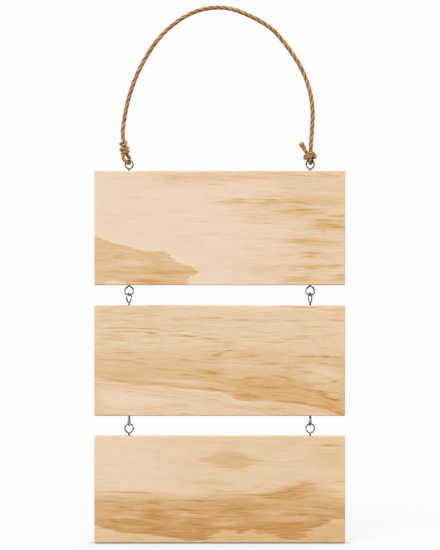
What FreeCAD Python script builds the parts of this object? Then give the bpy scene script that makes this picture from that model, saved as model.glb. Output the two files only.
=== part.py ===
import FreeCAD, Part
import math
import os

Vector = FreeCAD.Vector

# Planks, cut from boards of slightly different widths
plank_length = 298.4
plank_thickness = 12.0
top_plank_height = 136.2
middle_plank_height = 131.6
bottom_plank_height = 127.3
edge_round = 1.2

# Screw eyes, each bent from one wire: pointed shank, leg, ring, leg
wire_diameter = 2.0
ring_radius = 5.1
leg_angle = 55.0
neck_bend_radius = 1.5
neck_opening = 0.2
shank_length = 13.0
point_length = 3.0
eye_inset = 41.2

# Bare shank between a plank's edge and the neck of its eyes
rope_eye_stand = 1.0
upper_eye_stand = 2.07
lower_eye_stand = 0.0

# Clearances of the shanks in their pilot holes and of linked wires
pilot_clearance = 0.05
pilot_end_clearance = 0.5
link_clearance = 0.3

# Turn of each eye about its shank, left then right; at 0 the ring faces the front
rope_eye_turns = (-20.0, -24.0)
top_lower_turns = (4.0, -6.0)
middle_upper_turns = (60.0, -70.0)
middle_lower_turns = (77.0, -78.0)
bottom_upper_turns = (0.0, 8.0)

# Rope: the arch, and the thinner pulled-tight rope of the loops and tails
rope_diameter = 5.0
tight_rope_diameter = 3.8

# Height of the rope eyes' ring tops below the underside of the rope's apex
hang_drop = 179.1

# Arch of the rope from the left tie to the right one, in the plane of the sign: x, z
arch_points = [
    (-114.7, -156.2), (-116.0, -146.0), (-113.8, -129.5), (-109.4, -107.5), (-102.2, -85.4),
    (-94.0, -67.0), (-83.2, -48.4), (-70.4, -31.0), (-55.6, -17.2), (-39.0, -6.2),
    (-21.5, 0.8), (-2.5, 3.2), (15.0, 1.3), (32.8, -5.6), (50.8, -14.6),
    (64.4, -24.2), (75.4, -37.0), (86.2, -51.5), (95.6, -66.0), (103.4, -82.8),
    (108.4, -100.2), (110.8, -116.6), (110.8, -132.0), (109.8, -147.0), (108.8, -160.0),
]

# Loops through the rope eyes, from the front leg round to the back one,
# measured from the middle of the ring's top wire: x, y, z
left_loop = [
    (-5.4, -0.8, 10.6), (-6.8, -2.2, 7.0), (-5.4, -3.8, 3.0), (-1.7, -4.2, -1.8), (-0.2, 0.0, -4.6),
    (1.2, 3.9, -1.8), (-0.2, 3.5, 2.8), (-2.6, 2.0, 6.8), (-5.2, 0.8, 10.8),
]
right_loop = [
    (-1.4, -1.6, 7.0), (-2.4, -3.8, 3.4), (-1.6, -4.1, -1.8), (0.0, 0.0, -4.5),
    (1.6, 4.1, -1.8), (2.4, 3.8, 3.4), (1.2, 1.6, 7.0),
]

# Knots and tails, from the same places
left_knot = {"centre": (-5.4, 0.0, 11.3), "radius": 5.7, "half_height": 4.4}
left_hitch = {"centre": (-6.0, 0.0, 19.2), "radius": 3.7, "half_height": 3.2}
left_tail = [(-5.6, -0.6, 13.0), (-6.6, -1.2, 19.4), (-10.2, -2.4, 20.4)]
right_knot = {"centre": (-0.8, 0.0, 6.4), "radius": 7.0, "half_height": 4.6}
right_tail = [(-1.6, -0.8, 6.4), (-6.0, -1.4, 12.6), (-11.0, -1.8, 19.3)]

wire_radius = wire_diameter / 2
neck_tangent = neck_bend_radius * math.tan(math.radians(leg_angle / 2))
ring_centre = ring_radius / math.sin(math.radians(leg_angle)) + neck_tangent
eye_reach = ring_centre + ring_radius
plank_gap = 2 * eye_reach + upper_eye_stand + lower_eye_stand - wire_diameter - link_clearance

eye_offset = plank_length / 2 - eye_inset
eye_places = (-eye_offset, eye_offset)

top_plank_top = -hang_drop - eye_reach - rope_eye_stand
top_plank_foot = top_plank_top - top_plank_height
middle_plank_top = top_plank_foot - plank_gap
middle_plank_foot = middle_plank_top - middle_plank_height
bottom_plank_top = middle_plank_foot - plank_gap


def on_ring(angle):
    """Point of the ring's centre line, in the eye's own frame."""
    turn = math.radians(angle)
    return Vector(ring_radius * math.cos(turn), 0, ring_centre + ring_radius * math.sin(turn))


def screw_eye():
    """One eye standing on the origin, its shank going down the Z axis and its ring facing the front."""
    apex = Vector(0, 0, neck_tangent)
    shank_end = Vector(0, 0, point_length - shank_length)
    left_foot = on_ring(180 + leg_angle)
    right_foot = on_ring(-leg_angle)
    left_leg = (left_foot - apex).normalize()
    right_leg = (apex - right_foot).normalize()
    neck_start = Vector(0, 0, 0)
    neck_end = apex + left_leg * neck_tangent
    half = math.radians(leg_angle / 2)
    bend_centre = Vector(-neck_bend_radius, 0, 0)
    neck_middle = bend_centre + Vector(math.cos(half), 0, math.sin(half)) * neck_bend_radius
    cut_end = right_foot + right_leg * ((apex - right_foot).Length - neck_opening - wire_radius)
    path = Part.Wire([
        Part.LineSegment(shank_end, neck_start).toShape(),
        Part.Arc(neck_start, neck_middle, neck_end).toShape(),
        Part.LineSegment(neck_end, left_foot).toShape(),
        Part.Arc(left_foot, on_ring(90), right_foot).toShape(),
        Part.LineSegment(right_foot, cut_end).toShape(),
    ])
    section = Part.Face(Part.Wire(Part.makeCircle(wire_radius, shank_end, Vector(0, 0, 1))))
    point = Part.makeCone(0, wire_radius, point_length, Vector(0, 0, -shank_length))
    return path.makePipe(section).fuse(point).removeSplitter()


def placed(shape, x, z, turn, below, stand):
    """The eye turned about its shank and set in an edge, above a plank or hung below it."""
    eye = shape.copy()
    eye.translate(Vector(0, 0, stand))
    eye.rotate(Vector(0, 0, 0), Vector(0, 0, 1), turn)
    if below:
        eye.rotate(Vector(0, 0, 0), Vector(1, 0, 0), 180)
    eye.translate(Vector(x, 0, z))
    return eye


def pilot_hole(x, z, below, stand):
    """Blind hole for the sunk part of one shank, with a drilled point."""
    radius = wire_radius + pilot_clearance
    straight = shank_length - point_length - stand + pilot_end_clearance
    hole = Part.makeCylinder(radius, straight, Vector(0, 0, 0), Vector(0, 0, -1))
    tip = Part.makeCone(radius, 0, point_length, Vector(0, 0, -straight), Vector(0, 0, -1))
    return placed(hole.fuse(tip), x, z, 0, below, 0)


def plank(top, height, upper_stand, has_lower_eyes):
    """A board with eased edges and a pilot hole for each of its eyes."""
    corner = Vector(-plank_length / 2, -plank_thickness / 2, top - height)
    board = Part.makeBox(plank_length, plank_thickness, height, corner)
    board = board.makeFillet(edge_round, board.Edges)
    edges = [(top, False, upper_stand)]
    if has_lower_eyes:
        edges.append((top - height, True, lower_eye_stand))
    for x in eye_places:
        for z, below, stand in edges:
            board = board.cut(pilot_hole(x, z, below, stand))
    return board


def rounded_route(points):
    """Straight runs joined by tangent arcs, each as large as its two runs allow."""
    edges = []
    radii = []
    start = points[0]
    for before, here, after in zip(points, points[1:], points[2:]):
        into = here - before
        out = after - here
        turn = into.getAngle(out)
        reach = 0.45 * min(into.Length, out.Length)
        radius = reach / math.tan(turn / 2)
        radii.append(radius)
        first = here - into.normalize() * reach
        last = here + out.normalize() * reach
        inward = (first + last) * 0.5 - here
        middle = here + inward.normalize() * (radius / math.cos(turn / 2) - radius)
        edges.append(Part.LineSegment(start, first).toShape())
        edges.append(Part.Arc(first, middle, last).toShape())
        start = last
    edges.append(Part.LineSegment(start, points[-1]).toShape())
    return Part.Wire(edges), radii


def rope_tube(name, points, diameter):
    """A round rope along a route, with its radii and its volume against section times length."""
    path, radii = rounded_route(points)
    section = Part.makeCircle(diameter / 2, points[0], points[1] - points[0])
    tube = path.makePipe(Part.Face(Part.Wire(section)))
    expected = math.pi * diameter ** 2 / 4 * path.Length
    print(name, "length", round(path.Length, 1), "volume ratio", round(tube.Volume / expected, 4),
          "radii", [round(radius, 1) for radius in radii])
    return tube


def knot(centre, radius, half_height):
    """Outer shape of a knot: a flattened ball of rope."""
    ball = Part.makeSphere(radius)
    squash = FreeCAD.Matrix()
    squash.scale(1, 1, half_height / radius)
    ball = ball.transformGeometry(squash)
    ball.translate(centre)
    return ball


def tie(name, hook, loop, balls, tail, rope_end, rope_inside):
    """A knotted rope end: its loop through the eye, its knots, its cut tail and the rope's first bit."""
    def from_hook(point):
        return hook + Vector(*point)

    solid = rope_tube(name + " loop", [from_hook(point) for point in loop], tight_rope_diameter)
    solid = solid.fuse(rope_tube(name + " tail", [from_hook(point) for point in tail], tight_rope_diameter))
    for ball in balls:
        solid = solid.fuse(knot(from_hook(ball["centre"]), ball["radius"], ball["half_height"]))
    into_knot = rope_end - rope_inside
    sunk = rope_end.distanceToPoint(from_hook(balls[-1]["centre"]))
    stub = Part.makeCylinder(rope_diameter / 2, sunk, rope_end, into_knot)
    return solid.fuse(stub).removeSplitter()


eye_rows = {
    "rope_eye": (top_plank_top, False, rope_eye_turns, rope_eye_stand),
    "top_lower_eye": (top_plank_foot, True, top_lower_turns, lower_eye_stand),
    "middle_upper_eye": (middle_plank_top, False, middle_upper_turns, upper_eye_stand),
    "middle_lower_eye": (middle_plank_foot, True, middle_lower_turns, lower_eye_stand),
    "bottom_upper_eye": (bottom_plank_top, False, bottom_upper_turns, upper_eye_stand),
}

nodes = {
    "top_plank": plank(top_plank_top, top_plank_height, rope_eye_stand, True),
    "middle_plank": plank(middle_plank_top, middle_plank_height, upper_eye_stand, True),
    "bottom_plank": plank(bottom_plank_top, bottom_plank_height, upper_eye_stand, False),
}

wire_eye = screw_eye()
for row, (edge, below, turns, stand) in eye_rows.items():
    for side, x, turn in zip(("left", "right"), eye_places, turns):
        nodes[side + "_" + row] = placed(wire_eye, x, edge, turn, below, stand)

arch = [Vector(x, 0, z) for x, z in arch_points]
nodes["hanging_rope"] = rope_tube("arch", arch, rope_diameter)
left_hook = Vector(eye_places[0], 0, -hang_drop)
right_hook = Vector(eye_places[1], 0, -hang_drop)
nodes["left_rope_knot"] = tie(
    "left", left_hook, left_loop, [left_knot, left_hitch], left_tail, arch[0], arch[1])
nodes["right_rope_knot"] = tie(
    "right", right_hook, right_loop, [right_knot], right_tail, arch[-1], arch[-2])

os.makedirs("parts", exist_ok=True)
for name, shape in nodes.items():
    shape.exportStep("parts/" + name + ".step")
    print(name, "solids", len(shape.Solids), "valid", shape.isValid(), "volume", round(shape.Volume, 2))
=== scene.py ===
import math
import random

import bmesh
import bpy
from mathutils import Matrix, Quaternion, Vector


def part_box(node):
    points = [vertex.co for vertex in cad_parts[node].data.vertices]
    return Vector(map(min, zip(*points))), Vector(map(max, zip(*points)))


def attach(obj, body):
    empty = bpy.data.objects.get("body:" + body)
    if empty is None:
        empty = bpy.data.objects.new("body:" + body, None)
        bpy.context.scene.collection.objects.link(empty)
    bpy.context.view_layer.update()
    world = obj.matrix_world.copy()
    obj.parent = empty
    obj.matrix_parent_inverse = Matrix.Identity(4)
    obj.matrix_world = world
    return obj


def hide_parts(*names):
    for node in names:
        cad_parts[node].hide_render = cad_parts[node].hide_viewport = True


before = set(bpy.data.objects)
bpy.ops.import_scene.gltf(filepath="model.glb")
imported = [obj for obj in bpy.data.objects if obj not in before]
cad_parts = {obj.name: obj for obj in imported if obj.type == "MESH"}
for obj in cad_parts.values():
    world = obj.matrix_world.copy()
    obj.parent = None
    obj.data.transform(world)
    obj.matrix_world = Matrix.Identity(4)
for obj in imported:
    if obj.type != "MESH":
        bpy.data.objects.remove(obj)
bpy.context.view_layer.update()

scene = bpy.context.scene
scene.view_settings.view_transform = "Standard"
mm = 0.001
perMetre = 1000


# small helpers for node trees
def linear(red, green, blue):
    # a screen colour, 0 to 255, as the linear colour that a socket takes
    def channel(value):
        value = value / 255
        return value / 12.92 if value <= 0.04045 else ((value + 0.055) / 1.055) ** 2.4
    return (channel(red), channel(green), channel(blue), 1.0)


def addNode(tree, kind, inputs=None, **settings):
    node = tree.nodes.new("ShaderNode" + kind)
    for name, value in settings.items():
        setattr(node, name, value)
    for name, value in (inputs or {}).items():
        if isinstance(value, bpy.types.NodeSocket):
            tree.links.new(value, node.inputs[name])
        else:
            node.inputs[name].default_value = value
    return node


def calc(tree, operation, *values):
    return addNode(tree, "Math", dict(enumerate(values)), operation=operation).outputs[0]


def ease(tree, value, low, high, outLow=0.0, outHigh=1.0):
    # smooth step from low to high
    node = addNode(tree, "MapRange", {0: value, 1: low, 2: high, 3: outLow, 4: outHigh},
                   interpolation_type="SMOOTHSTEP")
    return node.outputs[0]


def grainNoise(tree, place, stretch, detail=2.0, roughness=0.5, shift=(0, 0, 0)):
    # noise whose cells are stretch millimetres long in x, y and depth
    scaled = addNode(tree, "Mapping", {"Vector": place, "Location": shift,
                                       "Scale": [1 / s for s in stretch]})
    noise = addNode(tree, "TexNoise", {"Vector": scaled.outputs[0], "Scale": 1.0, "Detail": detail,
                                       "Roughness": roughness})
    return noise.outputs["Fac"]


def centred(tree, noise, amount, base):
    # noise about its middle, times an amount, on top of a base
    return calc(tree, "MULTIPLY_ADD", calc(tree, "SUBTRACT", noise, 0.5), amount, base)


def mixColour(tree, share, first, second):
    return addNode(tree, "Mix", {0: share, 6: first, 7: second}, data_type="RGBA").outputs[2]


def toneRamp(tree, tone, stops):
    # colours at their places along a tone
    node = addNode(tree, "ValToRGB", {"Fac": tone})
    elements = node.color_ramp.elements
    while len(elements) < len(stops):
        elements.new(0.5)
    for element, (position, colour) in zip(elements, stops):
        element.position = position
        element.color = colour
    return node.outputs[0]


def openness(tree, reach):
    # 1 in the open, less in corners narrower than the reach
    return addNode(tree, "AmbientOcclusion", {"Distance": reach}).outputs["AO"]


def addBump(tree, shader, height, strength, distance):
    bump = addNode(tree, "Bump", {"Height": height, "Strength": strength, "Distance": distance})
    tree.links.new(bump.outputs[0], shader.inputs["Normal"])


def emptyTree(owner):
    owner.use_nodes = True
    owner.node_tree.nodes.clear()
    return owner.node_tree


def newMaterial(name):
    material = bpy.data.materials.new(name)
    tree = emptyTree(material)
    shader = addNode(tree, "BsdfPrincipled")
    addNode(tree, "OutputMaterial", {"Surface": shader.outputs[0]})
    return material, tree, shader


def coat(piece, material):
    piece.data.materials.clear()
    piece.data.materials.append(material)


# camera, square to the planks from well back
view = {"centre": (0.36 * mm, -6 * mm, -316.3 * mm), "away": 2.6, "height": 654.5 * mm, "farthest": 50}


def placeCamera():
    data = bpy.data.cameras.new("camera")
    data.sensor_fit = "VERTICAL"
    data.lens = data.sensor_height * view["away"] / view["height"]
    data.clip_end = view["farthest"]
    camera = bpy.data.objects.new("camera", data)
    x, y, z = view["centre"]
    camera.location = (x, y - view["away"], z)
    camera.rotation_euler = (math.radians(90), 0, 0)
    scene.collection.objects.link(camera)
    scene.camera = camera


# white surroundings, soft light from in front and one lamp behind
light = {
    "white": 0.982, "surround": 0.66, "lampsAway": 3, "cardMatt": 0.13,
    "floorDrop": 0.5 * mm, "floorSize": 40.0, "floorMatt": 0.12,
    # painted shadow on the floor near the sign: how much the glow dims, and within what reach
    "shade": 0.20, "shadeReach": 85 * mm, "contactShadow": 0.55, "contactShadowReach": 12 * mm,
}
cards = [
    {"name": "frontCard", "size": (6.0, 4.4), "at": (0, -3.4, 1.2), "flat": False},
    {"name": "floorCard", "size": (4.4, 3.0), "at": (0, -1.62, -0.6355), "flat": True},
    {"name": "upperLeftCard", "size": (1.2, 1.6), "at": (-1.3, 0.0, 0.9), "flat": False},
    {"name": "upperRightCard", "size": (1.2, 1.6), "at": (1.3, 0.0, 0.9), "flat": False},
]
lamps = [
    {"name": "keyLamp", "from": (-0.45, -0.75, 0.65), "strength": 1.96, "softness": 40},
    {"name": "fillLamp", "from": (0.75, -0.75, 0.25), "strength": 0.85, "softness": 60},
    {"name": "backLamp", "from": (0.35, 0.90, 0.18), "strength": 1.65, "softness": 36},
]


def seenDirectly(tree):
    # 1 for the camera, also by way of metal or glass
    path = addNode(tree, "LightPath").outputs
    seen = calc(tree, "MAXIMUM", path["Is Camera Ray"], path["Is Glossy Ray"])
    return calc(tree, "MAXIMUM", seen, path["Is Transmission Ray"])


def stagePiece(name, bm, material):
    mesh = bpy.data.meshes.new(name)
    bm.to_mesh(mesh)
    bm.free()
    mesh.materials.append(material)
    holder = bpy.data.objects.new(name, mesh)
    scene.collection.objects.link(holder)
    return holder


def makeWorld():
    world = bpy.data.worlds.new("studio")
    tree = emptyTree(world)
    seen = seenDirectly(tree)
    room = addNode(tree, "Background", {"Color": (1, 1, 1, 1), "Strength": light["surround"]})
    backdrop = addNode(tree, "Background", {"Color": (1, 1, 1, 1), "Strength": light["white"]})
    mixed = addNode(tree, "MixShader", {0: seen, 1: room.outputs[0], 2: backdrop.outputs[0]})
    addNode(tree, "OutputWorld", {"Surface": mixed.outputs[0]})
    scene.world = world


def makeFloor():
    material = bpy.data.materials.new("whiteFloor")
    tree = emptyTree(material)
    matt = addNode(tree, "BsdfDiffuse", {"Color": (light["floorMatt"],) * 3 + (1,)})
    seen = seenDirectly(tree)
    # the glow makes up for what the matt floor lacks of white; near the sign it is dimmed, a painted shadow
    # from how open each place is
    fromLamps = sum(lamp["strength"] * Vector(lamp["from"]).normalized().z for lamp in lamps)
    lit = light["floorMatt"] * (light["surround"] + fromLamps / math.pi)
    strength = light["white"] - lit - light["shade"] - light["contactShadow"]
    for shade, reach in (("shade", "shadeReach"), ("contactShadow", "contactShadowReach")):
        strength = calc(tree, "MULTIPLY_ADD", openness(tree, light[reach]), light[shade], strength)
    strength = calc(tree, "MULTIPLY", seen, strength)
    glow = addNode(tree, "Emission", {"Color": (1, 1, 1, 1), "Strength": strength})
    both = addNode(tree, "AddShader", {0: matt.outputs[0], 1: glow.outputs[0]})
    addNode(tree, "OutputMaterial", {"Surface": both.outputs[0]})
    bm = bmesh.new()
    bmesh.ops.create_grid(bm, x_segments=1, y_segments=1, size=light["floorSize"] / 2)
    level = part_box("bottom_plank")[0].z - light["floorDrop"]
    bmesh.ops.translate(bm, verts=bm.verts, vec=(0, 0, level))
    floor = stagePiece("floor", bm, material)


def hangCards():
    # seen by reflections alone, they give the plated wire its darker sides
    material = bpy.data.materials.new("darkCard")
    tree = emptyTree(material)
    cloth = addNode(tree, "BsdfDiffuse", {"Color": (light["cardMatt"],) * 3 + (1,)})
    addNode(tree, "OutputMaterial", {"Surface": cloth.outputs[0]})
    for card in cards:
        bm = bmesh.new()
        bmesh.ops.create_grid(bm, x_segments=1, y_segments=1, size=0.5)
        bmesh.ops.scale(bm, verts=bm.verts, vec=(*card["size"], 1))
        if not card["flat"]:
            turn = (-Vector(card["at"])).to_track_quat("Z", "Y").to_matrix()
            bmesh.ops.rotate(bm, verts=bm.verts, matrix=turn)
        bmesh.ops.translate(bm, verts=bm.verts, vec=card["at"])
        holder = stagePiece(card["name"], bm, material)
        holder.visible_camera = holder.visible_diffuse = False
        holder.visible_transmission = holder.visible_shadow = False


def hangLamps():
    for lamp in lamps:
        data = bpy.data.lights.new(lamp["name"], "SUN")
        data.energy = lamp["strength"]
        data.angle = math.radians(lamp["softness"])
        holder = bpy.data.objects.new(lamp["name"], data)
        holder.location = Vector(lamp["from"]) * light["lampsAway"]
        holder.rotation_euler = (-Vector(lamp["from"])).to_track_quat("-Z", "Y").to_euler()
        scene.collection.objects.link(holder)


placeCamera()
makeWorld()
makeFloor()
hangCards()
hangLamps()
print("stage: camera, surroundings, floor and lamps")


# rope: three packed strands laid up along a smooth line
rope = {
    "diameter": 5.0 * mm, "strands": 3, "lay": 26 * mm, "layDrift": 0.5, "swell": 0.022,
    "waves": (0.02, 0.05), "groove": 0.34, "sharpness": 3, "tuck": 6 * mm, "tuckedWidth": 0.7,
    "steps": 30, "tieSteps": 12, "weld": 0.0001 * mm, "seed": 3,
    "shares": (0, 0.03, 0.07, 0.12, 0.19, 0.28, 0.39, 0.5, 0.61, 0.72, 0.81, 0.88, 0.93, 0.97),
    "arch": [(-113.9, -164.5), (-114.7, -156.2), (-116.0, -146.0), (-113.8, -129.5), (-109.4, -107.5),
             (-102.2, -85.4), (-94.0, -67.0), (-83.2, -48.4), (-70.4, -31.0), (-55.6, -17.2),
             (-39.0, -6.2), (-21.5, 0.8), (-2.5, 3.2), (15.0, 1.3), (32.8, -5.6), (50.8, -14.6),
             (64.4, -24.2), (75.4, -37.0), (86.2, -51.5), (95.6, -66.0), (103.4, -82.8),
             (108.4, -100.2), (110.8, -116.6), (110.8, -132.0), (109.8, -147.0), (108.8, -160.0),
             (108.4, -171.5)],
}


def smoothLine(name, points, steps):
    # points along the NURBS spline of a route
    curve = bpy.data.curves.new(name, "CURVE")
    curve.dimensions = "3D"
    curve.resolution_u = steps
    spline = curve.splines.new("NURBS")
    spline.points.add(len(points) - 1)
    for control, place in zip(spline.points, points):
        control.co = (*place, 1)
    spline.order_u = 3
    spline.use_endpoint_u = True
    holder = bpy.data.objects.new(name, curve)
    mesh = bpy.data.meshes.new_from_object(holder)
    line = [v.co.copy() for v in mesh.vertices]
    bpy.data.objects.remove(holder)
    bpy.data.curves.remove(curve)
    bpy.data.meshes.remove(mesh)
    return line


def lengthsAlong(line):
    lengths = [0.0]
    for before, after in zip(line, line[1:]):
        lengths.append(lengths[-1] + (after - before).length)
    return lengths


def ropeSection(name, radius):
    # outline of the strands, with a narrow groove between each two
    curve = bpy.data.curves.new(name, "CURVE")
    curve.dimensions = "2D"
    spline = curve.splines.new("POLY")
    strands = rope["strands"]
    places = [(strand + share, share) for strand in range(strands) for share in rope["shares"]]
    spline.points.add(len(places) - 1)
    for point, (place, share) in zip(spline.points, places):
        dip = (1 - math.sin(math.pi * share)) ** rope["sharpness"]
        reach = radius * (1 - rope["groove"] * dip)
        turn = math.tau * place / strands
        point.co = (reach * math.cos(turn), reach * math.sin(turn), 0, 1)
    spline.use_cyclic_u = True
    return bpy.data.objects.new(name, curve)


def meshOf(holder, name, lengthInMm):
    # the curve as a smooth mesh, with millimetres along it in its UV map
    scene.collection.objects.link(holder)
    made = holder.evaluated_get(bpy.context.evaluated_depsgraph_get())
    mesh = bpy.data.meshes.new_from_object(made)
    mesh.name = name
    bpy.data.objects.remove(holder)
    bm = bmesh.new()
    bm.from_mesh(mesh)
    bmesh.ops.remove_doubles(bm, verts=bm.verts, dist=rope["weld"])
    uvs = bm.loops.layers.uv.active
    # the flat ends take the colour of a strand's crown
    crown = 1 / (2 * rope["strands"])
    for face in bm.faces:
        face.smooth = len(face.verts) == 4
        for loop in face.loops:
            loop[uvs].uv.x *= lengthInMm
            if not face.smooth:
                loop[uvs].uv.y = crown
    bmesh.ops.recalc_face_normals(bm, faces=bm.faces)
    bm.to_mesh(mesh)
    bm.free()
    piece = bpy.data.objects.new(name, mesh)
    scene.collection.objects.link(piece)
    return piece


def layRope(name, line, diameter, seed, tucked):
    # a tucked start or end narrows where it goes into a knot
    draw = random.Random(seed)
    lengths = lengthsAlong(line)
    section = ropeSection(name + "Section", diameter / 2)
    curve = bpy.data.curves.new(name, "CURVE")
    curve.dimensions = "3D"
    curve.bevel_mode = "OBJECT"
    curve.bevel_object = section
    curve.use_fill_caps = True
    lay = rope["lay"] * diameter / rope["diameter"]
    start = draw.uniform(0, math.tau)
    waves = [(draw.uniform(*rope["waves"]), draw.uniform(0, math.tau)) for _ in range(3)]
    spline = curve.splines.new("POLY")
    spline.points.add(len(line) - 1)
    for point, place, length in zip(spline.points, line, lengths):
        drift = [math.sin(math.tau * length / diameter * pace + phase) for pace, phase in waves]
        fromEnds = (length, lengths[-1] - length)
        full = min([1.0] + [gone / rope["tuck"] for gone, isIn in zip(fromEnds, tucked) if isIn])
        width = rope["tuckedWidth"] + (1 - rope["tuckedWidth"]) * full
        point.co = (*place, 1)
        point.radius = (1 - rope["swell"] * (1 + drift[0] * drift[1])) * width
        point.tilt = start + math.tau * length / lay + rope["layDrift"] * drift[2]
    piece = meshOf(bpy.data.objects.new(name, curve), name, lengths[-1] / mm)
    bpy.data.objects.remove(section)
    return piece, lengths[-1]


archRoute = [Vector((x, 0, z)) * mm for x, z in rope["arch"]]
archLine = smoothLine("arch", archRoute, rope["steps"])
hangingRope, archLength = layRope("hanging_rope_strands", archLine, rope["diameter"], rope["seed"],
                                  (True, True))
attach(hangingRope, "rope")
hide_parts("hanging_rope")
print("rope: arch of", round(archLength, 4), "m")


# ties: each rope end goes through its eye and is knotted back on itself
ties = {
    "left_tie": {
        "node": "left_rope_knot", "eye": (-108.0, 0.0, -179.1), "diameter": 4.2 * mm, "seed": 11,
        "route": [(-6.0, 0, 17.5), (-5.6, 0.4, 12), (-3.4, 2.4, 7.2), (-0.2, 3.9, 3.6),
                  (0.9, 4.4, -1.4), (-0.6, 0, -5.1), (-2.8, -5.2, -2.2), (-7.4, -5.2, 1.2),
                  (-6.9, -3.2, 5.8), (-8.2, -2.6, 8.0), (-5.4, -4.8, 9.2), (-1.9, -3.0, 9.7),
                  (-0.8, 0.6, 10.4), (-4.4, 3.9, 10.8), (-8.9, 2.4, 11.6), (-10.0, -0.8, 12.5),
                  (-8.2, -3.5, 13.0), (-5.6, -1.9, 12.9), (-2.9, -3.3, 13.6), (-1.4, 0.2, 14.2),
                  (-4.6, 3.3, 15.0), (-8.2, 1.6, 16.0), (-7.0, -2.4, 16.4), (-4.2, -2.8, 18.6),
                  (-3.6, 0.4, 20.8), (-6.0, 3.2, 20.6), (-9.2, 2.0, 19.4), (-9.8, -2.4, 18.7)],
        "brush": {"count": 60, "length": 0.9 * mm, "flare": 1.05, "back": 0.6 * mm},
    },
    "right_tie": {
        "node": "right_rope_knot", "eye": (108.0, 0.0, -179.1), "diameter": 4.2 * mm, "seed": 17,
        "route": [(0.6, 0.2, 13), (0.6, 0.8, 6), (1.8, 3.6, 2.6), (2.0, 4.4, -1.8),
                  (0.2, 0, -5.0), (-1.2, -4.4, -1.8), (-0.4, -5.1, 1.6), (0.4, -2.6, 4.6), (3.0, 1.0, 6.0),
                  (5.2, 0.8, 6.6), (5.7, -2.6, 4.6), (5.2, -2.8, 2.6), (4.4, 2.4, 3.4), (-1.5, 5.0, 3.5),
                  (-6.0, 2.8, 3.4), (-6.7, -3.4, 1.6), (-3.8, -5.5, 1.8), (-0.2, -5.6, 4.0),
                  (3.0, -3.4, 5.8), (5.0, 0.6, 7.6), (2.0, 3.9, 6.6), (-3.0, 3.8, 5.4), (-6.6, 0.8, 4.6),
                  (-4.8, -3.6, 6.0), (-1.2, -4.6, 7.2), (2.8, -3.0, 8.0), (3.8, 0.6, 8.4), (0.0, 2.6, 8.0),
                  (-3.9, 0.4, 8.2), (-5.6, -0.6, 10.6), (-7.0, -1.0, 13.0)],
        "brush": {"count": 110, "length": 8.6 * mm, "flare": 1.75, "back": 3.5 * mm},
    },
}
fuzz = {
    "fibre": 0.5 * mm, "stray": 0.10 * mm, "taper": 0.5, "grainLength": 10, "seed": 23,
    "fill": 0.92, "uneven": (0.9, 1.04), "sway": 0.06, "flareCurve": 1.3,
    "brushSteps": (0, 0.25, 0.5, 0.75, 1), "straySteps": (0, 0.33, 0.67, 1),
    "perMm": 0.9, "reach": (2.5 * mm, 6.0 * mm), "aslant": 0.6, "sunk": 0.86,
    "lift": 1.3 * mm, "liftShare": (0.2, 1.0), "liftCurve": 1.4,
}


def fibrePiece(name, fibres, thickness):
    # loose fibres, each a list of places from its root to its tip
    curve = bpy.data.curves.new(name, "CURVE")
    curve.dimensions = "3D"
    curve.bevel_depth = thickness / 2
    curve.bevel_resolution = 1
    curve.use_fill_caps = True
    for fibre in fibres:
        spline = curve.splines.new("POLY")
        spline.points.add(len(fibre) - 1)
        for i, (point, place) in enumerate(zip(spline.points, fibre)):
            point.co = (*place, 1)
            point.radius = 1 - fuzz["taper"] * i / (len(fibre) - 1)
    return meshOf(bpy.data.objects.new(name, curve), name, fuzz["grainLength"])


def brushEnd(line, radius, brush, draw):
    # cut rope end opening into its fibres, which start a little inside the rope
    way = (line[-1] - line[-4]).normalized()
    side = way.orthogonal().normalized()
    root = line[-1] - way * brush["back"]
    fibres = []
    for _ in range(brush["count"]):
        out = Quaternion(way, draw.uniform(0, math.tau)) @ side
        spread = radius * math.sqrt(draw.uniform(0, fuzz["fill"]))
        length = (brush["length"] + brush["back"]) * draw.uniform(*fuzz["uneven"])
        sway = Quaternion(way, draw.uniform(0, math.tau)) @ side * draw.uniform(0, fuzz["sway"]) * length
        fibre = []
        for share in fuzz["brushSteps"]:
            wide = 1 + (brush["flare"] - 1) * share ** fuzz["flareCurve"]
            fibre.append(root + way * length * share + out * spread * wide + sway * share ** 2)
        fibres.append(fibre)
    return fibres


def strayFibres(line, radius, draw):
    # thin hairs that lift off the rope
    fibres = []
    count = int(lengthsAlong(line)[-1] / mm * fuzz["perMm"])
    for _ in range(count):
        i = draw.randrange(2, len(line) - 2)
        way = (line[i + 1] - line[i - 1]).normalized() * draw.choice((-1, 1))
        out = Quaternion(way, draw.uniform(0, math.tau)) @ way.orthogonal().normalized()
        across = way.cross(out) * draw.uniform(-fuzz["aslant"], fuzz["aslant"])
        length = draw.uniform(*fuzz["reach"])
        lift = fuzz["lift"] * draw.uniform(*fuzz["liftShare"])
        root = line[i] + out * radius * fuzz["sunk"]
        fibre = []
        for share in fuzz["straySteps"]:
            away = out * lift * share ** fuzz["liftCurve"]
            fibre.append(root + (way + across * share) * length * share + away)
        fibres.append(fibre)
    return fibres


hairs = strayFibres(archLine, rope["diameter"] / 2, random.Random(fuzz["seed"]))
jutePieces = [hangingRope]
for name, tie in ties.items():
    eye = Vector(tie["eye"])
    route = [(eye + Vector(point)) * mm for point in tie["route"]]
    line = smoothLine(name, route, rope["tieSteps"])
    tie["piece"], tie["length"] = layRope(name, line, tie["diameter"], tie["seed"], (True, False))
    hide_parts(tie["node"])
    brush = brushEnd(line, tie["diameter"] / 2, tie["brush"], random.Random(tie["seed"]))
    jutePieces += [tie["piece"], fibrePiece(name + "_cut_end", brush, fuzz["fibre"])]
    hairs += strayFibres(line, tie["diameter"] / 2, random.Random(tie["seed"] + 1))
    print("tie:", name, round(tie["length"], 4), "m")
jutePieces.append(fibrePiece("stray_fibres", hairs, fuzz["stray"]))
for piece in jutePieces[1:]:
    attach(piece, "rope")
print("rope:", len(hairs), "stray fibres")
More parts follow.
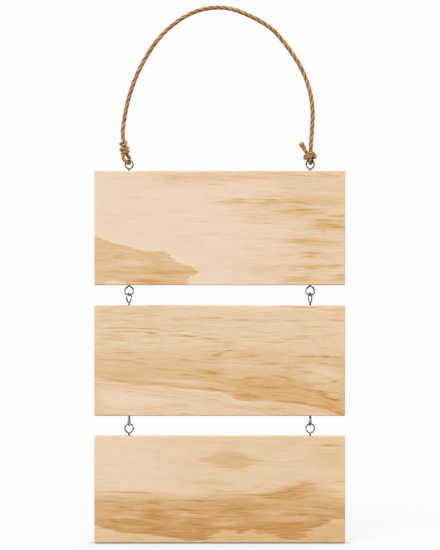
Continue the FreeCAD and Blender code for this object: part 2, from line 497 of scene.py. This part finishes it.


# dry jute: long fibres along the yarns; darker in the grooves, partly dirt and partly painted shade, with
# painted shade in the knots' crevices
jute = {
    "tones": [(0.25, linear(116, 71, 28)), (0.52, linear(184, 138, 86)), (0.85, linear(224, 184, 136))],
    "groove": linear(76, 40, 12), "grooveDirtAndShadeFade": (0.02, 0.24, 0.95, 0.0),
    "creviceShadeReach": 4 * mm, "creviceShadeFade": (0.25, 0.80, 0.85, 0.0),
    "fibres": (0.34, 6.0, 1.0), "fibreTone": 0.85, "patches": (9 * mm, 9 * mm, 9 * mm), "patchTone": 0.5,
    "around": 15.0, "slope": 0.45, "yarn": 1.1, "yarnTone": 0.06, "yarnHeight": 0.5,
    "ground": 0.55, "crownTone": (0.1, 0.5, -0.10, 0.10), "cutPaler": 0.16,
    "roughness": 0.85, "shine": 0.2, "bump": 0.7, "bumpHeight": 0.2 * mm,
}


def makeJute(name, laid, paler=0.0):
    material, tree, shader = newMaterial(name)
    place = addNode(tree, "TexCoord").outputs["Object"]
    uv = addNode(tree, "SeparateXYZ", {0: addNode(tree, "UVMap").outputs[0]}).outputs
    # across the yarns, which lean from the strand towards the rope's own line
    across = calc(tree, "MULTIPLY_ADD", uv[0], jute["slope"], calc(tree, "MULTIPLY", uv[1], jute["around"]))
    lie = addNode(tree, "CombineXYZ", {0: across, 1: uv[0]}).outputs[0]
    fibres = grainNoise(tree, lie, jute["fibres"], 3.0, 0.6)
    patches = grainNoise(tree, place, jute["patches"], 2.0)
    tone = centred(tree, patches, jute["patchTone"], jute["ground"] + paler)
    tone = centred(tree, fibres, jute["fibreTone"], tone)
    height = fibres
    if laid:
        share = calc(tree, "FRACT", calc(tree, "MULTIPLY", uv[1], rope["strands"]))
        offCrown = calc(tree, "ABSOLUTE", calc(tree, "SUBTRACT", share, 0.5))
        crown = calc(tree, "SUBTRACT", 0.5, offCrown)
        yarns = calc(tree, "SINE", calc(tree, "MULTIPLY", across, math.tau / jute["yarn"]))
        tone = calc(tree, "MULTIPLY_ADD", yarns, jute["yarnTone"], tone)
        # lighter on the strands' crowns and darker towards the grooves: partly dirt, partly painted shade
        tone = calc(tree, "ADD", tone, ease(tree, crown, *jute["crownTone"]))
        height = calc(tree, "MULTIPLY_ADD", yarns, jute["yarnHeight"], fibres)
    colour = toneRamp(tree, tone, jute["tones"])
    if laid:
        # the groove colour here is partly dirt, partly painted shade between the strands
        colour = mixColour(tree, ease(tree, crown, *jute["grooveDirtAndShadeFade"]), colour, jute["groove"])
        # painted shade: darker in the crevices of the knots, from how open each place is
        creviceShade = ease(tree, openness(tree, jute["creviceShadeReach"]), *jute["creviceShadeFade"])
        colour = mixColour(tree, creviceShade, colour, jute["groove"])
    tree.links.new(colour, shader.inputs["Base Color"])
    shader.inputs["Roughness"].default_value = jute["roughness"]
    shader.inputs["Specular IOR Level"].default_value = jute["shine"]
    addBump(tree, shader, height, jute["bump"], jute["bumpHeight"])
    return material


laidJute = makeJute("juteLaid", True)
cutJute = makeJute("juteCut", False, jute["cutPaler"])
looseJute = makeJute("juteLoose", False)
for piece in jutePieces:
    if piece.name.endswith("_cut_end"):
        coat(piece, cutJute)
    elif piece.name == "stray_fibres":
        coat(piece, looseJute)
    else:
        coat(piece, laidJute)
print("jute: finish on the rope, its ties and its fibres")


# planks: bare pine, each with its own figure. A noise cell's size is in millimetres along the plank,
# through its thickness and down it.
pine = {
    "tones": [(0.00, linear(241, 220, 193)), (0.15, linear(238, 212, 181)), (0.35, linear(232, 199, 160)),
              (0.55, linear(226, 186, 139))],
    "deepAt": (0.75, 0.90, 1.00),
    "figureLength": 300.0, "figureHeight": 200.0, "liveliest": 2.0,
    "cells": {"wander": (95, 30, 26), "ragged": (22, 5, 2.6), "fray": (34, 6, 1.5), "bands": (120, 14, 8),
              "streaky": (34, 4, 1.0), "hairs": (13, 1.2, 0.7), "mottle": (30, 12, 7),
              "clusters": (110, 20, 24), "pores": (36, 1.5, 0.85), "fibres": (5, 0.5, 0.22)},
    "slant": 1.1, "wander": 4.0, "ragged": 2.6, "pullReach": 60.0, "levelDepth": 100.0,
    "fray": 26.0, "streakFade": (0.15, 1.25), "breaks": 0.7, "broken": (0.34, 0.66, 0.64, 1.34),
    "darkest": 0.90, "darkSoftness": 0.35,
    "dashes": (0.56, 0.74), "clusters": (0.4, 0.66), "poreEdge": (0.56, 0.66),
    "hairs": 0.30, "lines": 0.25, "fibres": 0.20, "mottle": 0.24, "pores": 0.10,
    "endDepth": (0.9, 0.1), "endTone": 0.24, "ringWidth": 3.1, "ringTone": 0.12,
    # painted shade on the upper and lower faces: the last two entries below, an amount and a depth in
    # millimetres
    "worn": 0.12, "wornDepth": (0.2, 1.5), "wornUneven": 1.6, "edges": 0.34, "edgeShadeDepth": (0.1, 1.0),
    "roughness": 0.62, "glossDrift": 0.16, "shine": 0.3, "lift": 0.6, "bump": 0.15, "bumpHeight": 0.12 * mm,
}

# Places are millimetres from the left end and down from the top. A patch lies between its upper and
# its lower edge. A streak has left, right, depth at both, half height and tone.
planks = {
    "top_plank": {
        "deep": [linear(221, 173, 113), linear(213, 158, 90), linear(200, 139, 65)],
        "shift": (3.1, 0.4, 7.7), "bands": 0.12, "dashes": 0.22, "fall": 0.022,
        "ground": [(0, 0.07), (140, 0.08), (180, 0.11), (215, 0.185), (250, 0.24), (300, 0.26)],
        "lively": [(0, 0.9), (130, 0.9), (180, 1.1), (240, 1.35), (300, 1.4)],
        "flow": [(0, 94), (60, 98), (124, 101), (300, 103)],
        "patches": [
            {"tone": 0.425, "grain": 0.45, "fray": 16, "fades": (1.2, 1.5), "ends": (-5, 135, 8),
             "upper": [(0, 77.5), (10, 81), (20, 84.5), (30, 87.5), (45, 90.5), (63, 95.5), (76, 94.5),
                       (88, 97.5), (93, 102), (97, 107), (112, 113.5), (125, 120), (132, 124), (300, 124)],
             "lower": [(0, 150), (104, 150), (112, 131), (116, 126), (122, 123), (126, 120.5), (132, 116),
                       (300, 116)]},
            {"tone": -0.30, "grain": 0.0, "fray": 10, "fades": (2.0, 2.0), "ends": (8, 42, 9),
             "upper": [(0, 134), (10, 133), (22, 129.5), (30, 130.5), (40, 134), (300, 134)],
             "lower": [(0, 150), (300, 150)]},
        ],
        "streaks": [
            (34, 205, 6, 6, 11, 0.22), (60, 118, 8, 10, 9, 0.1), (84, 104, 13, 16.5, 2.2, 0.18),
            (86, 105, 9, 8, 1.2, 0.14), (146, 178, 12.5, 10.5, 3.4, 0.14),
            (118, 162, 15, 16.5, 1.7, 0.14), (186, 212, 8, 10, 1.4, 0.1), (202, 262, 10, 13, 1.7, 0.13),
            (258, 300, 4.5, 7.5, 2.4, 0.19), (110, 304, 4, 6, 6, 0.16), (250, 306, 63, 64, 8.5, 0.21),
            (208, 310, 84, 87, 6, 0.18), (236, 276, 100, 101, 6, 0.17), (212, 262, 19.5, 22.5, 1.5, 0.17),
            (236, 262, 24.5, 25.5, 1.4, 0.13), (152, 170, 26, 26.5, 1.1, 0.14),
            (146, 314, 39, 36, 10, 0.27), (196, 226, 33.5, 35, 2.1, 0.14),
            (214, 300, 36, 40.8, 2, 0.19), (146, 188, 35.5, 36, 4.4, 0.27),
            (165, 178, 34, 34.5, 3.1, 0.16), (153, 174, 43, 43.2, 1.8, 0.17),
            (155, 173, 51, 51, 1.8, 0.1), (178, 202, 44.5, 45, 1.4, 0.1), (154, 222, 52, 57, 8, 0.13),
            (204, 282, 49.5, 48.5, 5.6, 0.3), (226, 264, 45.5, 47, 2.2, 0.15),
            (256, 300, 50.5, 54.3, 2.1, 0.22), (272, 302, 54, 54.2, 1.8, 0.35),
            (256, 284, 60, 60.5, 3.2, 0.22), (253, 300, 65, 66, 2.4, 0.27),
            (272, 283, 65, 65.5, 1.4, 0.21), (284, 302, 66, 66, 1.4, 0.27), (262, 275, 70, 74, 3.1, 0.16),
            (284, 300, 58, 60, 2.2, 0.15), (222, 264, 82.5, 84, 3.1, 0.23),
            (243, 270, 83, 83.6, 1.4, 0.16), (262, 300, 84, 86, 2.4, 0.16),
            (196, 212, 81.5, 82, 1.3, 0.12), (238, 276, 98, 98.8, 2.5, 0.17),
            (251, 270, 103, 104, 2.4, 0.16), (215, 237, 100, 102, 1.7, 0.12),
            (218, 304, 114, 113, 4, 0.31), (280, 300, 112, 113, 1.5, 0.16),
            (248, 268, 117.5, 117.5, 1.8, 0.17), (162, 224, 119, 120, 7, 0.15),
            (224, 268, 128.5, 128.5, 4.6, 0.33), (280, 304, 128, 128, 5, 0.33),
            (245, 263, 124, 124, 2.1, 0.16), (34, 72, 31.5, 33, 0.7, 0.18), (68, 83, 33, 33.5, 0.8, 0.35),
            (20, 38, 102, 104, 3, 0.26), (14, 62, 119.3, 120.5, 1.3, 0.26),
            (22, 98, 114.5, 117, 2.2, 0.15), (56, 126, 121, 121, 2.6, 0.32),
            (40, 100, 130, 134, 3.4, 0.36), (14, 72, 109, 110, 3.4, -0.22),
            (2, 32, 114.5, 115.5, 2.2, -0.14),
        ],
    },
    "middle_plank": {
        "deep": [linear(221, 173, 113), linear(213, 158, 90), linear(200, 139, 65)],
        "shift": (11.3, 5.2, 2.6), "bands": 0.20, "dashes": 0.26, "fall": 0.004,
        "ground": [(0, 0.28), (150, 0.26), (300, 0.25)],
        "lively": [(0, 1.65), (150, 1.7), (300, 1.6)],
        "flow": [(0, 88), (35, 93), (80, 96), (115, 99), (156, 106.5), (200, 115), (247, 118), (300, 133)],
        "patches": [
            {"tone": 0.24, "grain": -0.2, "fray": 14, "fades": (36, 1.4), "ends": (-5, 305, 5),
             "upper": [(0, 46), (150, 40), (300, 40)],
             "lower": [(0, 86), (22, 90), (38, 93), (50, 94.8), (65, 95), (80, 96), (115, 99), (140, 102.5),
                       (155, 105), (165, 109), (172, 113.5), (200, 114.8), (220, 115.5), (250, 118.5),
                       (270, 121.5), (280, 125), (288, 129), (300, 135)]},
            {"tone": 0.185, "grain": 0.0, "fray": 22, "fades": (3.0, 1.4), "ends": (150, 306, 24),
             "upper": [(0, 96), (150, 96), (170, 89), (180, 85.5), (205, 84.5), (225, 87), (245, 92.5),
                       (262, 98.5), (275, 107), (300, 115)],
             "lower": [(0, 86), (50, 94.8), (115, 99), (140, 102.5), (155, 105), (165, 109), (172, 113.5),
                       (200, 114.8), (220, 115.5), (250, 118.5), (270, 121.5), (280, 125), (288, 129),
                       (300, 135)]},
        ],
        "streaks": [
            (2, 32, 6.5, 8, 2.6, 0.16), (28, 68, 9.5, 9, 1.1, 0.29), (89, 112, 16.5, 16.5, 1.3, 0.29),
            (94, 119, 4.5, 5, 1.2, 0.16), (119, 157, 15.5, 15, 1.3, 0.33), (165, 196, 17, 18.5, 1.6, 0.29),
            (213, 277, 0.8, 3, 1.8, 0.34), (281, 296, 16.5, 18, 1.3, 0.4), (225, 243, 19, 19, 1.2, 0.34),
            (250, 290, 26, 26, 1.1, 0.26), (2, 62, 27, 26, 1.6, 0.29), (36, 128, 25.5, 33, 1.5, 0.27),
            (14, 64, 30, 31.5, 1.4, 0.3), (59, 78, 31.5, 33.8, 1.7, 0.45), (2, 46, 35, 35, 1.3, 0.2),
            (2, 42, 38.5, 41.5, 2.2, 0.22), (76, 146, 35, 40, 1.6, 0.29), (99, 117, 36, 37, 1.2, 0.39),
            (112, 178, 38, 48, 2.4, 0.22), (143, 170, 47.8, 49, 1.6, 0.38),
            (140, 157, 60, 55.5, 1.9, 0.36), (154, 169, 54.5, 52, 1.7, 0.26),
            (140, 154, 59.6, 59, 1.4, 0.34), (139, 202, 62.8, 61.5, 1.6, 0.21),
            (164, 232, 61, 59, 1.6, 0.29), (234, 272, 61, 60.5, 1.4, 0.38),
            (266, 283, 60.6, 61, 1.4, 0.62), (279, 298, 61, 62, 1.4, 0.33),
            (179, 227, 70.5, 71, 1.2, 0.19), (219, 246, 74.5, 77, 1.6, 0.27), (238, 270, 78, 82, 2, 0.27),
            (261, 298, 66, 74, 1.8, 0.23), (260, 302, 80.5, 96, 2.6, 0.2), (238, 306, 75, 88, 11, -0.28),
            (138, 310, 122, 127, 8, 0.16), (70, 310, 3, 3, 7, -0.11), (118, 226, 67, 73, 8, -0.15),
            (4, 30, 64, 65, 1.6, 0.18), (39, 64, 65, 71.5, 2, 0.19), (69, 110, 76, 76.5, 1.3, 0.23),
            (114, 152, 76, 79.5, 2, 0.24), (124, 152, 80.5, 82.2, 1.9, 0.36),
            (94, 127, 82, 83, 1.3, 0.27), (107, 147, 85, 86, 1.3, 0.27), (72, 142, 87.5, 92.5, 3, -0.24),
            (96, 172, 96.6, 103, 2.2, 0.36), (154, 180, 90, 89, 1.8, 0.32),
            (174, 207, 85.5, 86.5, 1.8, 0.32), (204, 237, 83.5, 86.2, 2.2, 0.32),
            (224, 247, 87, 90.5, 2, 0.34), (244, 264, 92.8, 97.4, 2.2, 0.39),
            (261, 277, 100, 106.5, 2.9, 0.24), (264, 282, 104, 108.5, 2.4, 0.32),
            (269, 300, 110, 114.5, 1.9, 0.27), (164, 202, 105, 111.5, 2.8, 0.5),
            (174, 192, 107.5, 109, 1.7, 0.27), (213, 252, 114.5, 117, 2.4, 0.36),
            (249, 287, 118, 122.5, 2.6, 0.27), (284, 302, 126, 131, 3.2, 0.42),
            (8, 108, 88, 95.5, 2.4, 0.19), (0, 42, 129.2, 130.5, 1.8, 0.3), (24, 44, 65, 66, 1.5, 0.34),
            (-20, 100, 108, 116, 15, -0.18),
        ],
    },
    "bottom_plank": {
        "deep": [linear(216, 171, 117), linear(206, 154, 94), linear(192, 136, 70)],
        "shift": (6.4, 8.8, 13.9), "bands": 0.12, "dashes": 0.22, "fall": 0.012,
        "ground": [(0, 0.14), (60, 0.17), (110, 0.24), (150, 0.27), (240, 0.30), (300, 0.32)],
        "lively": [(0, 0.65), (150, 0.72), (300, 0.8)],
        "flow": [(0, 98), (90, 102), (150, 102), (215, 99), (262, 94), (300, 95)],
        "patches": [
            {"tone": 0.54, "grain": 0.6, "fray": 40, "fades": (25.0, 2.0), "ends": (-5, 305, 5),
             "upper": [(0, 57), (60, 58), (100, 63), (140, 60), (180, 60), (206, 63), (236, 61), (300, 66)],
             "lower": [(0, 107.5), (12, 111), (22, 114.5), (50, 116.5), (70, 118.5), (100, 123),
                       (112, 124.5),
                       (138, 121.5), (143, 117), (150, 113.5), (165, 113), (175, 117), (182, 113.5),
                       (188, 112), (198, 117.5), (206, 116), (222, 122.5), (230, 124), (248, 120.5),
                       (252, 114.5), (268, 108), (276, 105.5), (282, 101), (290, 99.5), (300, 100)]},
            {"tone": 0.30, "grain": 0.4, "fray": 50, "fades": (8.0, 7.0), "ends": (112, 212, 16),
             "upper": [(0, 24), (118, 24), (130, 21), (142, 18), (155, 15), (170, 15), (178, 18), (190, 22),
                       (205, 24), (300, 24)],
             "lower": [(0, 31), (118, 31), (135, 35), (145, 39), (160, 42), (172, 44), (180, 42), (186, 38),
                       (195, 34), (205, 32), (300, 32)]},
            {"tone": 0.28, "grain": 0.2, "fray": 20, "fades": (16, 2), "ends": (-5, 305, 5),
             "upper": [(0, 100), (300, 94)], "lower": [(0, 150), (300, 150)]},
        ],
        "streaks": [
            (236, 253, 30, 30, 1.9, 0.3), (260, 302, 11, 12, 2, 0.26), (268, 302, 11.5, 12, 1.2, 0.23),
            (150, 172, 8, 12, 4, 0.1), (255, 300, 22, 24, 12, 0.1), (0, 98, 64.8, 68.8, 1.2, 0.44),
            (2, 37, 70.5, 71, 0.9, 0.26), (2, 24, 77, 77.5, 1.3, 0.27), (69, 152, 75.8, 77, 1.3, 0.35),
            (116, 137, 77.5, 77.5, 0.9, 0.23), (106, 186, 54, 57, 5, 0.17),
            (129, 162, 62, 66, 1.5, 0.18), (150, 187, 66, 65, 1, 0.18), (184, 201, 60, 61, 1.3, 0.21),
            (174, 217, 70, 69, 1.9, 0.35), (190, 232, 71, 75, 2, 0.18), (196, 272, 71, 58.5, 7, 0.44),
            (243, 264, 58.5, 57, 2.6, 0.36), (238, 262, 54, 55.5, 2, 0.17), (221, 264, 76, 71, 1.9, 0.26),
            (264, 302, 66, 66.5, 1, 0.35), (261, 302, 73, 76, 1.3, 0.2), (287, 302, 54, 54.5, 1.1, 0.29),
            (22, 50, 82, 88.5, 3, 0.36), (8, 48, 88, 89, 1.6, 0.18), (53, 84, 87.5, 90.5, 3.2, 0.36),
            (52, 98, 95, 99.5, 5.4, 0.56), (93, 124, 86, 90, 2.2, 0.27), (116, 138, 97.5, 98, 1.6, 0.26),
            (146, 186, 89.5, 84, 4.4, 0.38), (148, 172, 96, 96.5, 1.3, 0.27),
            (163, 200, 91, 98, 4.2, 0.13), (169, 232, 80, 83, 1.5, 0.26), (231, 252, 83, 84, 1.3, 0.23),
            (256, 287, 83.5, 87, 1.4, 0.26), (234, 254, 89, 89, 1.1, 0.23), (238, 254, 94, 94, 1.3, 0.35),
            (253, 276, 95.5, 99, 4.2, 0.16), (278, 302, 86, 88, 4.4, 0.14),
            (283, 302, 88, 88.5, 1.6, 0.21), (30, 94, 102, 105, 7, 0.22),
            (-6, 62, 100, 106, 6, 0.2), (48, 84, 111.2, 113.6, 2.8, 0.42),
            (78, 108, 116.5, 119.5, 2.2, 0.2), (98, 144, 110, 112, 5.8, 0.54),
            (108, 128, 103, 108, 4, 0.29), (120, 146, 119.4, 121, 1.7, 0.32),
            (166, 182, 112, 115.5, 2.2, 0.27), (211, 254, 113.5, 112, 6.4, 0.58),
            (213, 258, 107, 108, 3, 0.32), (222, 248, 117, 117.5, 3, 0.29),
            (98, 128, 93.5, 94, 2.4, -0.22), (16, 54, 96.5, 97, 1.7, -0.24),
            (132, 180, 105.5, 104, 4.2, -0.38), (198, 232, 92, 91, 3.6, -0.27),
            (194, 284, 100, 98, 5.5, -0.27), (208, 304, 85, 89, 8, -0.2),
            (26, 58, 108, 109, 1.7, -0.19), (200, 292, 72, 66, 7, 0.26),
        ],
    },
}


def edgeCurve(tree, share, points, height=1.0):
    # a value that follows points along the plank, such as the depth of a figure's edge
    node = addNode(tree, "FloatCurve", {"Value": share})
    curve = node.mapping.curves[0]
    while len(curve.points) < len(points):
        curve.points.new(0.5, 0.5)
    for point, (x, value) in zip(curve.points, points):
        point.location = (x / pine["figureLength"], value / height)
    node.mapping.use_clip = False
    node.mapping.extend = "HORIZONTAL"
    node.mapping.update()
    return calc(tree, "MULTIPLY", node.outputs[0], height)


def patchMask(tree, patch, field):
    # 1 between a patch's frayed edges and 0 outside
    along, depth = field["along"], field["bent"]
    frayed = centred(tree, field["fray"], patch["fray"] / pine["figureLength"], field["share"])
    upper = edgeCurve(tree, frayed, patch["upper"], pine["figureHeight"])
    lower = edgeCurve(tree, frayed, patch["lower"], pine["figureHeight"])
    left, right, soft = patch["ends"]
    mask = ease(tree, calc(tree, "SUBTRACT", depth, upper), 0.0, patch["fades"][0])
    for value, low, high in ((calc(tree, "SUBTRACT", lower, depth), 0.0, patch["fades"][1]),
                             (along, left, left + soft), (along, right, right - soft)):
        mask = calc(tree, "MULTIPLY", mask, ease(tree, value, low, high))
    return mask


def streakMark(tree, place, left, right, downLeft, downRight, thick, strength):
    # a long soft lens of darker or paler grain
    slope = math.atan2(downRight - downLeft, right - left)
    reach = math.hypot(downRight - downLeft, right - left) / 2
    middle = ((left + right) / 2, 0, (downLeft + downRight) / 2)
    spot = addNode(tree, "Mapping", {"Vector": place, "Rotation": (0, -slope, 0), "Location": middle,
                                     "Scale": (reach, 1, thick)}, vector_type="TEXTURE")
    away = addNode(tree, "VectorMath", {0: spot.outputs[0]}, operation="LENGTH").outputs["Value"]
    return ease(tree, away, *pine["streakFade"], strength, 0.0)


def grainField(tree, plank, place):
    # the growth layers lean through the thickness and wander along the length
    cells, shift = pine["cells"], plank["shift"]
    along, across, down = addNode(tree, "SeparateXYZ", {0: place}).outputs
    share = calc(tree, "DIVIDE", along, pine["figureLength"])
    wander = grainNoise(tree, place, cells["wander"], 2.0, 0.5, shift)
    ragged = grainNoise(tree, place, cells["ragged"], 3.0, 0.6, shift)
    fray = grainNoise(tree, place, cells["fray"], 2.0, 0.6, shift[::-1])
    leaning = calc(tree, "MULTIPLY_ADD", across, pine["slant"], down)
    curving = centred(tree, wander, pine["wander"], leaning)
    bent = centred(tree, ragged, pine["ragged"], curving)
    # grain runs beside the main figure and straightens away from it
    main = edgeCurve(tree, share, plank["flow"], pine["figureHeight"])
    apart = calc(tree, "ABSOLUTE", calc(tree, "SUBTRACT", curving, main))
    pull = ease(tree, apart, 0.0, pine["pullReach"], 1.0, 0.0)
    swing = calc(tree, "MULTIPLY", pull, calc(tree, "SUBTRACT", main, pine["levelDepth"]))
    flow = calc(tree, "SUBTRACT", curving, swing)
    flow = calc(tree, "MULTIPLY_ADD", along, -plank["fall"], flow)
    grain = addNode(tree, "CombineXYZ", {0: along, 1: across, 2: flow}).outputs[0]
    return {"along": along, "across": across, "down": down, "share": share, "fray": fray,
            "curving": curving, "bent": bent, "grain": grain}


def grainLayers(tree, plank, grain):
    cells, shift = pine["cells"], plank["shift"]
    layers = {
        "bands": grainNoise(tree, grain, cells["bands"], 2.0, 0.5, shift),
        "streaky": grainNoise(tree, grain, cells["streaky"], 2.0, 0.5, shift),
        "hairs": grainNoise(tree, grain, cells["hairs"], 2.0, 0.6, shift),
        "mottle": grainNoise(tree, grain, cells["mottle"], 2.0, 0.5, shift[::-1]),
        "clusters": grainNoise(tree, grain, cells["clusters"], 1.0, 0.5, shift[::-1]),
    }
    pores = grainNoise(tree, grain, cells["pores"], 1.0, 0.5, shift[::-1])
    layers["pores"] = ease(tree, pores, *pine["poreEdge"])
    return layers


def figureTone(tree, plank, field, layers):
    # ground, patches and streaks, with a soft limit on how dark they get together
    lively = edgeCurve(tree, field["share"], plank["lively"], pine["liveliest"])
    ground = edgeCurve(tree, field["share"], plank["ground"])
    tone = centred(tree, layers["bands"], plank["bands"], ground)
    for patch in plank["patches"]:
        mask = patchMask(tree, patch, field)
        tone = calc(tree, "MULTIPLY_ADD", mask, patch["tone"], tone)
        lively = calc(tree, "MULTIPLY_ADD", mask, patch["grain"], lively)
    frayedAlong = centred(tree, field["fray"], pine["fray"], field["along"])
    markPlace = addNode(tree, "CombineXYZ", {0: frayedAlong, 2: field["bent"]}).outputs[0]
    marks = 0.0
    for streak in plank["streaks"]:
        marks = calc(tree, "ADD", marks, streakMark(tree, markPlace, *streak))
    breaks = centred(tree, layers["hairs"], pine["breaks"], layers["streaky"])
    broken = ease(tree, breaks, *pine["broken"])
    tone = calc(tree, "MULTIPLY_ADD", marks, broken, tone)
    tone = calc(tree, "SMOOTH_MIN", tone, pine["darkest"], pine["darkSoftness"])
    return tone, lively


def grainTone(tree, plank, field, layers, tone, lively):
    # fine lines, hairs, fibres and pores on top of the figure
    streaky = layers["streaky"]
    dash = calc(tree, "MULTIPLY", ease(tree, streaky, *pine["dashes"]),
                ease(tree, layers["clusters"], *pine["clusters"]))
    lines = centred(tree, streaky, pine["lines"], calc(tree, "MULTIPLY", dash, plank["dashes"]))
    lines = centred(tree, layers["hairs"], pine["hairs"], lines)
    layers["fibres"] = grainNoise(tree, field["grain"], pine["cells"]["fibres"], 2.0, 0.6, plank["shift"])
    lines = centred(tree, layers["fibres"], pine["fibres"], lines)
    lines = calc(tree, "MULTIPLY_ADD", layers["pores"], pine["pores"], lines)
    tone = calc(tree, "MULTIPLY_ADD", lines, lively, tone)
    return centred(tree, layers["mottle"], pine["mottle"], tone)


def edgeTone(tree, field, layers, size, tone):
    # end grain is darker and shows the layers as lines
    half = size / 2
    inner, outer = (half.x - depth for depth in pine["endDepth"])
    fromMiddle = calc(tree, "ABSOLUTE", calc(tree, "SUBTRACT", field["along"], half.x))
    end = ease(tree, fromMiddle, inner, outer)
    rings = calc(tree, "SINE", calc(tree, "MULTIPLY", field["curving"], math.tau / pine["ringWidth"]))
    endTone = calc(tree, "MULTIPLY_ADD", rings, pine["ringTone"], pine["endTone"])
    tone = calc(tree, "MULTIPLY_ADD", end, endTone, tone)
    # the sanded arrises, where a place is close to two faces at once, are paler
    close = []
    for value, reach in zip((field["along"], field["across"], field["down"]), half):
        offCentre = calc(tree, "ABSOLUTE", calc(tree, "SUBTRACT", value, reach))
        close.append(calc(tree, "SUBTRACT", reach, offCentre))
    second = calc(tree, "MINIMUM", calc(tree, "MAXIMUM", close[0], close[1]), close[2])
    second = calc(tree, "MAXIMUM", calc(tree, "MINIMUM", close[0], close[1]), second)
    uneven = centred(tree, layers["mottle"], pine["wornUneven"], second)
    tone = calc(tree, "SUBTRACT", tone, ease(tree, uneven, *pine["wornDepth"], pine["worn"], 0.0))
    # painted shade: the upper and lower faces and the wood next to them are darkened, holding back the
    # lamps' light on the top edges
    return calc(tree, "ADD", tone, ease(tree, close[2], *pine["edgeShadeDepth"], pine["edges"], 0.0))


def makePine(name, plank):
    low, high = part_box(name)
    material, tree, shader = newMaterial(name + "_pine")
    objectSpace = addNode(tree, "TexCoord").outputs["Object"]
    # millimetres from the left end, from the front and down from the top
    corner = (-low.x * perMetre, -low.y * perMetre, high.z * perMetre)
    place = addNode(tree, "Mapping", {"Vector": objectSpace, "Location": corner,
                                      "Scale": (perMetre, perMetre, -perMetre)}).outputs[0]
    field = grainField(tree, plank, place)
    layers = grainLayers(tree, plank, field["grain"])
    tone, lively = figureTone(tree, plank, field, layers)
    tone = grainTone(tree, plank, field, layers, tone, lively)
    tone = edgeTone(tree, field, layers, (high - low) * perMetre, tone)
    colour = toneRamp(tree, tone, pine["tones"] + list(zip(pine["deepAt"], plank["deep"])))
    tree.links.new(colour, shader.inputs["Base Color"])
    drift = pine["glossDrift"]
    gloss = calc(tree, "MULTIPLY_ADD", layers["streaky"], drift, pine["roughness"] - drift / 2)
    tree.links.new(gloss, shader.inputs["Roughness"])
    shader.inputs["Specular IOR Level"].default_value = pine["shine"]
    lift = calc(tree, "MULTIPLY_ADD", layers["fibres"], pine["lift"], layers["hairs"])
    lift = calc(tree, "MULTIPLY_ADD", layers["streaky"], pine["lift"], lift)
    addBump(tree, shader, lift, pine["bump"], pine["bumpHeight"])
    return material


for name, plank in planks.items():
    coat(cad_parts[name], makePine(name, plank))
    print("plank:", name)


# screw eyes: bright plated wire, duller in clouds, with painted shade where wires cross and enter the wood
plating = {
    "clean": linear(222, 219, 213), "dull": linear(96, 88, 78), "paintedShade": linear(50, 32, 17),
    "clouds": 330.0, "cloudEdge": (0.44, 0.62), "paintedShadeReach": 6 * mm, "paintedShadeFade": (0.52, 0.97, 0.96, 0.0),
    "roughness": 0.16, "dullRougher": 0.16, "specks": 2600.0, "bump": 0.08, "bumpHeight": 0.05 * mm,
}


def makePlating():
    material, tree, shader = newMaterial("platedSteel")
    place = addNode(tree, "TexCoord").outputs["Object"]
    clouds = addNode(tree, "TexNoise", {"Vector": place, "Scale": plating["clouds"], "Detail": 2.0})
    dull = ease(tree, clouds.outputs["Fac"], *plating["cloudEdge"])
    colour = mixColour(tree, dull, plating["clean"], plating["dull"])
    # painted shade and reflection: where wires cross and where they enter the wood, the wire is darkened to
    # a deep brown, as shade and the wood seen in the metal would darken it
    shaded = ease(tree, openness(tree, plating["paintedShadeReach"]), *plating["paintedShadeFade"])
    colour = mixColour(tree, shaded, colour, plating["paintedShade"])
    tree.links.new(colour, shader.inputs["Base Color"])
    shader.inputs["Metallic"].default_value = 1.0
    gloss = calc(tree, "MULTIPLY_ADD", dull, plating["dullRougher"], plating["roughness"])
    tree.links.new(gloss, shader.inputs["Roughness"])
    specks = addNode(tree, "TexNoise", {"Vector": place, "Scale": plating["specks"], "Detail": 2.0})
    addBump(tree, shader, specks.outputs["Fac"], plating["bump"], plating["bumpHeight"])
    return material


platedSteel = makePlating()
for name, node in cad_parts.items():
    if name.endswith("_eye"):
        coat(node, platedSteel)
print("eyes: plated finish")
